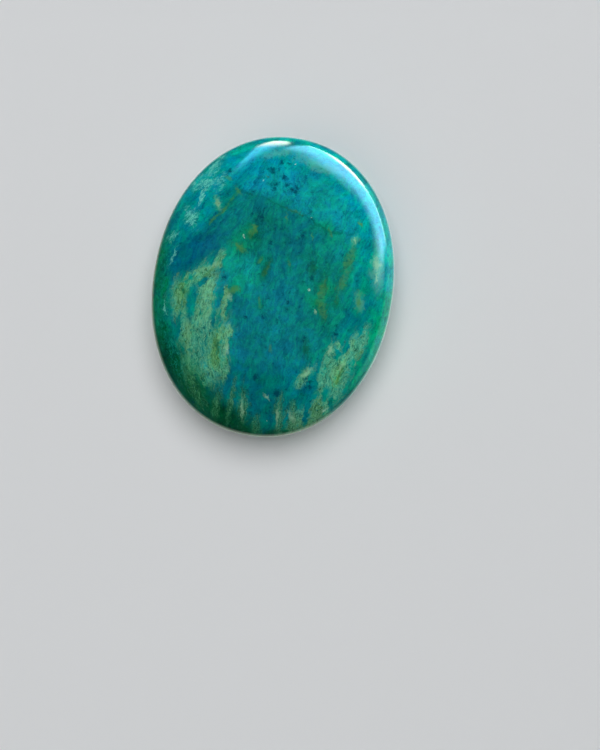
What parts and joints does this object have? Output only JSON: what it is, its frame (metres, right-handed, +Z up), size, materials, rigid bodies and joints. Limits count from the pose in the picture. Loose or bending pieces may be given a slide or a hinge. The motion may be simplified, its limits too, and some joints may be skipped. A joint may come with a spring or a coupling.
{
  "type": "polished shattuckite stone",
  "caption": "Polished oval palm stone of shattuckite, domed on top, in teal blue-green with celadon patches, thin brown veins and dark flecks, lying on a small ground flat.",
  "frame": {"origin": "middle of the flat that the stone lies on, at the centre of its outline", "axes": "+Z up out of the domed face, +Y along the stone's length, +X across it"},
  "size_m": [0.0474, 0.06, 0.0156],
  "materials": {
    "shattuckite": "polished"
  },
  "bodies": {
    "root": {"shattuckite_stone": "shattuckite"}
  },
  "joints": []
}
